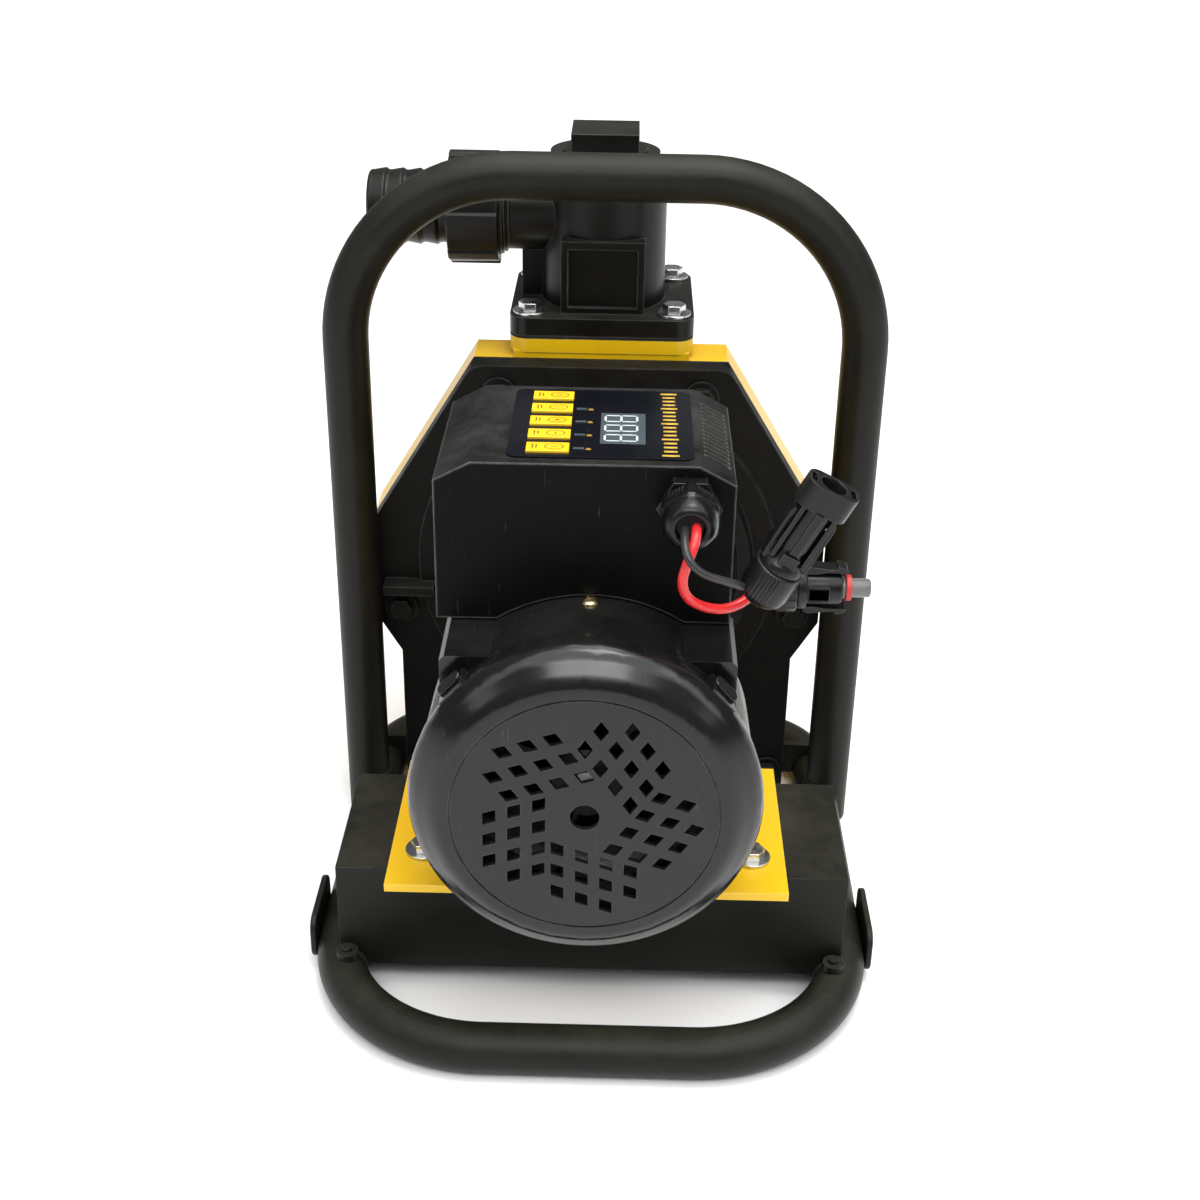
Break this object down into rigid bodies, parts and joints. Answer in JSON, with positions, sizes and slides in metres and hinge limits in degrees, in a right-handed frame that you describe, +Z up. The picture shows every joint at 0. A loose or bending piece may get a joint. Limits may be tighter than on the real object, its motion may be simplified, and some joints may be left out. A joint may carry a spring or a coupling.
{
  "type": "solar surface water pump",
  "caption": "Self-priming surface water pump with finned motor, keypad controller, solar connectors, top outlet with hose barb, and a bent-tube carry frame.",
  "frame": {"origin": "centre of the footprint box, on the ground under the base ring", "axes": "+Z up, -Y towards the motor's fan cover (front), +Y towards the suction port (rear), -X towards the outlet's hose barb"},
  "size_m": [0.27, 0.36, 0.356],
  "materials": {
    "black_powder": "satin powder coat",
    "yellow_paint": "satin paint",
    "gloss_black": "glossy moulded",
    "case_black": "matte moulded",
    "outlet_black": "satin moulded",
    "nylon_black": "satin nylon",
    "cast_black": "rough painted casting",
    "aluminium": "cast",
    "steel": "machined",
    "zinc": "zinc plated",
    "gold_zinc": "yellow zinc plated",
    "copper": "enamelled wire",
    "rubber": "matte",
    "red_seal": "matte",
    "red_wire": "satin insulation",
    "black_wire": "satin insulation",
    "panel_gloss": "glossy film",
    "key_yellow": "satin film",
    "display": "display",
    "led": "clear",
    "board_green": "circuit board",
    "ceramic": "ceramic",
    "resin": "glass filled"
  },
  "bodies": {
    "frame": {"base_ring": "black_powder", "carry_hoop": "black_powder", "bridge_channel": "black_powder", "side_plate_left": "black_powder", "side_plate_right": "black_powder", "frame_weld_studs": "black_powder", "foot_strap": "black_powder", "foot_bolts": "zinc", "base_bolts": "zinc", "casing_bolts": "zinc", "flange_bolts": "zinc", "motor_base_plate": "yellow_paint", "motor_housing": "yellow_paint", "pump_casing": "yellow_paint", "end_shield": "aluminium", "stator_core": "steel", "bearing_front": "steel", "bearing_rear": "steel", "stator_windings": "copper", "diffuser": "resin", "fan_cover": "gloss_black", "cover_screws": "gold_zinc", "pump_adapter": "cast_black", "casing_gasket": "rubber", "outlet_gasket": "rubber", "union_seal": "rubber", "gland_seal": "rubber", "seal_seat": "ceramic", "suction_fitting": "outlet_black", "drain_plug": "outlet_black", "outlet_body": "outlet_black", "hose_barb": "outlet_black", "controller_case": "case_black", "controller_base": "case_black", "circuit_board": "board_green", "label_panel": "panel_gloss", "led_display": "display", "status_leds": "led", "gland_body": "nylon_black", "plug_nut": "nylon_black", "plug_body": "nylon_black", "socket_nut": "nylon_black", "socket_body": "nylon_black", "plug_oring": "red_seal", "red_wire": "red_wire", "black_wire": "black_wire"},
    "rotor": {"rotor_shaft": "steel", "rotor_core": "steel", "cooling_fan": "resin", "impeller": "resin", "seal_head": "steel"},
    "union_nut": {"union_nut": "outlet_black"},
    "priming_plug": {"priming_plug": "outlet_black"},
    "gland_nut": {"gland_nut": "nylon_black"},
    "check_flap": {"check_flap": "rubber"},
    "button_1": {"button_1": "key_yellow"},
    "button_2": {"button_2": "key_yellow"},
    "button_3": {"button_3": "key_yellow"},
    "button_4": {"button_4": "key_yellow"},
    "button_5": {"button_5": "key_yellow"}
  },
  "joints": [
    {"name": "rotor_spin", "type": "hinge", "parent": "frame", "child": "rotor", "pos_m": [-0.002, 0, 0.143], "axis": [0, 1, 0], "continuous": true},
    {"name": "union_nut_turn", "type": "hinge", "parent": "frame", "child": "union_nut", "pos_m": [-0.07, 0.104, 0.313], "axis": [1, 0, 0], "continuous": true},
    {"name": "priming_plug_turn", "type": "hinge", "parent": "frame", "child": "priming_plug", "pos_m": [-0.002, 0.104, 0.35], "axis": [0, 0, 1], "continuous": true},
    {"name": "gland_nut_turn", "type": "hinge", "parent": "frame", "child": "gland_nut", "pos_m": [0.0368, -0.135, 0.2545], "axis": [0, 1, 0], "continuous": true},
    {"name": "check_flap_swing", "type": "hinge", "parent": "frame", "child": "check_flap", "pos_m": [-0.002, 0.1505, 0.2048], "axis": [-1, 0, 0], "range_deg": [0, 35]},
    {"name": "button_1_press", "type": "slide", "parent": "frame", "child": "button_1", "axis": [0, 0, -1], "range_m": [0, 0.0006], "stiffness_N_per_m": 600, "springref_m": -0.0002},
    {"name": "button_2_press", "type": "slide", "parent": "frame", "child": "button_2", "axis": [0, 0, -1], "range_m": [0, 0.0006], "stiffness_N_per_m": 600, "springref_m": -0.0002},
    {"name": "button_3_press", "type": "slide", "parent": "frame", "child": "button_3", "axis": [0, 0, -1], "range_m": [0, 0.0006], "stiffness_N_per_m": 600, "springref_m": -0.0002},
    {"name": "button_4_press", "type": "slide", "parent": "frame", "child": "button_4", "axis": [0, 0, -1], "range_m": [0, 0.0006], "stiffness_N_per_m": 600, "springref_m": -0.0002},
    {"name": "button_5_press", "type": "slide", "parent": "frame", "child": "button_5", "axis": [0, 0, -1], "range_m": [0, 0.0006], "stiffness_N_per_m": 600, "springref_m": -0.0002}
  ]
}
